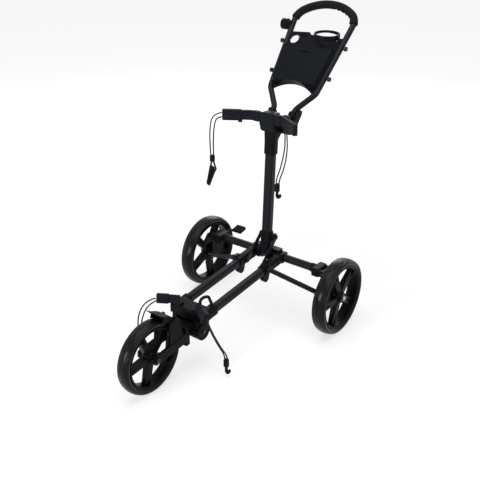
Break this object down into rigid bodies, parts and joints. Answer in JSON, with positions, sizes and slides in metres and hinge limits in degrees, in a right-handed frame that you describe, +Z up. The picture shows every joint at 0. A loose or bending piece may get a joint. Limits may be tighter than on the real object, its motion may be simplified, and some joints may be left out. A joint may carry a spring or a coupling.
{
  "type": "golf push cart",
  "caption": "Three-wheel folding push cart for a golf bag: upright mast with cradle arms, hoop handle with console tray, spoked wheels, fold-under front fork.",
  "frame": {"origin": "on the ground under the middle of the cart's length and width", "axes": "+X forward towards the front wheel, +Y to the cart's left, +Z up"},
  "size_m": [1.2167, 0.69, 1.1478],
  "materials": {
    "black_aluminium": "satin",
    "black_nylon": "matt",
    "tyre_rubber": "satin",
    "steel": "satin",
    "foam": "matt",
    "soft_rubber": "matt",
    "elastic_cord": "woven"
  },
  "bodies": {
    "frame": {"main_tube_left": "black_aluminium", "main_tube_right": "black_aluminium", "front_casting": "black_nylon", "rear_casting": "black_nylon", "frame_pins": "steel", "carry_loop": "soft_rubber", "axle_tube_left": "black_aluminium", "axle_tube_right": "black_aluminium", "axle_clevis_left": "black_nylon", "axle_clevis_right": "black_nylon", "lower_arm_left": "black_nylon", "lower_arm_right": "black_nylon", "cord_lower_left": "elastic_cord", "cord_lower_right": "elastic_cord", "hooks_lower": "black_nylon"},
    "slider": {"slider_left": "black_nylon", "slider_right": "black_nylon"},
    "links": {"link_left": "black_aluminium", "link_right": "black_aluminium"},
    "strut_left": {"strut_left": "black_aluminium"},
    "strut_right": {"strut_right": "black_aluminium"},
    "knuckle_left": {"knuckle_left": "black_nylon", "stub_axle_left": "steel"},
    "knuckle_right": {"knuckle_right": "black_nylon", "stub_axle_right": "steel"},
    "wheel_rear_left": {"tyre_rear_left": "tyre_rubber", "rim_rear_left": "black_nylon", "bearings_rear_left": "steel"},
    "wheel_rear_right": {"tyre_rear_right": "tyre_rubber", "rim_rear_right": "black_nylon", "bearings_rear_right": "steel"},
    "brake": {"brake_pedal": "black_nylon"},
    "front_drum": {"drum": "black_nylon", "neck_cap": "black_nylon"},
    "front_fork": {"fork": "black_nylon", "guard": "black_nylon", "front_axle": "steel"},
    "wheel_front": {"tyre_front": "tyre_rubber", "rim_front": "black_nylon", "bearings_front": "steel"},
    "mast": {"mast_tube": "black_aluminium", "mast_foot": "black_nylon", "mast_head": "black_nylon", "yoke": "black_nylon", "handle_bolt": "steel", "cord_upper_left": "elastic_cord", "cord_upper_right": "elastic_cord", "hooks_upper": "black_nylon"},
    "handle": {"handle_tube": "black_aluminium", "handle_cheek_left": "black_nylon", "handle_cheek_right": "black_nylon", "grip": "foam", "console": "black_nylon", "cup_holder": "black_nylon", "console_bolts": "steel", "umbrella_clamp": "black_nylon"},
    "console_lid": {"console_lid": "black_nylon"},
    "clamp_lever": {"clamp_lever": "black_nylon"}
  },
  "joints": [
    {"name": "mast_fold", "type": "hinge", "parent": "frame", "child": "mast", "pos_m": [-0.18262, 0, 0.25], "axis": [0, 1, 0], "range_deg": [0, 86]},
    {"name": "slider_run", "type": "slide", "parent": "frame", "child": "slider", "axis": [0.9971, 0, -0.0757], "range_m": [0, 0.11429]},
    {"name": "link_swing", "type": "hinge", "parent": "slider", "child": "links", "pos_m": [-0.11562, 0, 0.228], "axis": [0, 1, 0], "range_deg": [-18.79, 0]},
    {"name": "strut_left_swing", "type": "hinge", "parent": "slider", "child": "strut_left", "pos_m": [-0.09362, 0.084, 0.23405], "axis": [-0.0262, 0.7022, 0.7115], "range_deg": [0, 48.16]},
    {"name": "strut_right_swing", "type": "hinge", "parent": "slider", "child": "strut_right", "pos_m": [-0.09362, -0.084, 0.23405], "axis": [0.0262, 0.7022, -0.7115], "range_deg": [0, 48.16]},
    {"name": "wheel_left_tuck", "type": "hinge", "parent": "frame", "child": "knuckle_left", "pos_m": [-0.20662, 0.262, 0.235], "axis": [1, 0, 0], "range_deg": [-90.01, 0]},
    {"name": "wheel_right_tuck", "type": "hinge", "parent": "frame", "child": "knuckle_right", "pos_m": [-0.20662, -0.262, 0.235], "axis": [1, 0, 0], "range_deg": [0, 90.01]},
    {"name": "wheel_rear_left_spin", "type": "hinge", "parent": "knuckle_left", "child": "wheel_rear_left", "pos_m": [-0.21162, 0.313, 0.147], "axis": [0, 1, 0], "continuous": true},
    {"name": "wheel_rear_right_spin", "type": "hinge", "parent": "knuckle_right", "child": "wheel_rear_right", "pos_m": [-0.21162, -0.313, 0.147], "axis": [0, 1, 0], "continuous": true},
    {"name": "brake_press", "type": "hinge", "parent": "knuckle_right", "child": "brake", "pos_m": [-0.26162, -0.28, 0.184], "axis": [0, 1, 0], "range_deg": [-12, 0]},
    {"name": "front_fold", "type": "hinge", "parent": "frame", "child": "front_drum", "pos_m": [0.26838, 0, 0.142], "axis": [0, 1, 0], "range_deg": [0, 178]},
    {"name": "front_turn", "type": "hinge", "parent": "front_drum", "child": "front_fork", "pos_m": [0.31438, 0, 0.142], "axis": [1, 0, 0], "range_deg": [0, 90.01]},
    {"name": "wheel_front_spin", "type": "hinge", "parent": "front_fork", "child": "wheel_front", "pos_m": [0.47738, 0, 0.131], "axis": [0, 1, 0], "continuous": true},
    {"name": "handle_fold", "type": "hinge", "parent": "mast", "child": "handle", "pos_m": [-0.25162, 0, 0.752], "axis": [0, 1, 0], "range_deg": [-138, 15]},
    {"name": "lid_open", "type": "hinge", "parent": "handle", "child": "console_lid", "pos_m": [-0.34656, 0, 0.90274], "axis": [0, 1, 0], "range_deg": [0, 110]},
    {"name": "clamp_turn", "type": "hinge", "parent": "handle", "child": "clamp_lever", "pos_m": [-0.25162, 0, 0.752], "axis": [0, 1, 0], "range_deg": [-100, 0]}
  ],
  "couplings": [
    {"joint": "slider_run", "follows": "mast_fold", "m_per_rad": 0.076135},
    {"joint": "link_swing", "follows": "mast_fold", "ratio": -0.21843},
    {"joint": "strut_left_swing", "follows": "mast_fold", "ratio": 0.55991},
    {"joint": "strut_right_swing", "follows": "mast_fold", "ratio": 0.55991},
    {"joint": "wheel_left_tuck", "follows": "mast_fold", "ratio": -1.0465},
    {"joint": "wheel_right_tuck", "follows": "mast_fold", "ratio": 1.0465},
    {"joint": "front_turn", "follows": "front_fold", "ratio": 0.50562}
  ]
}
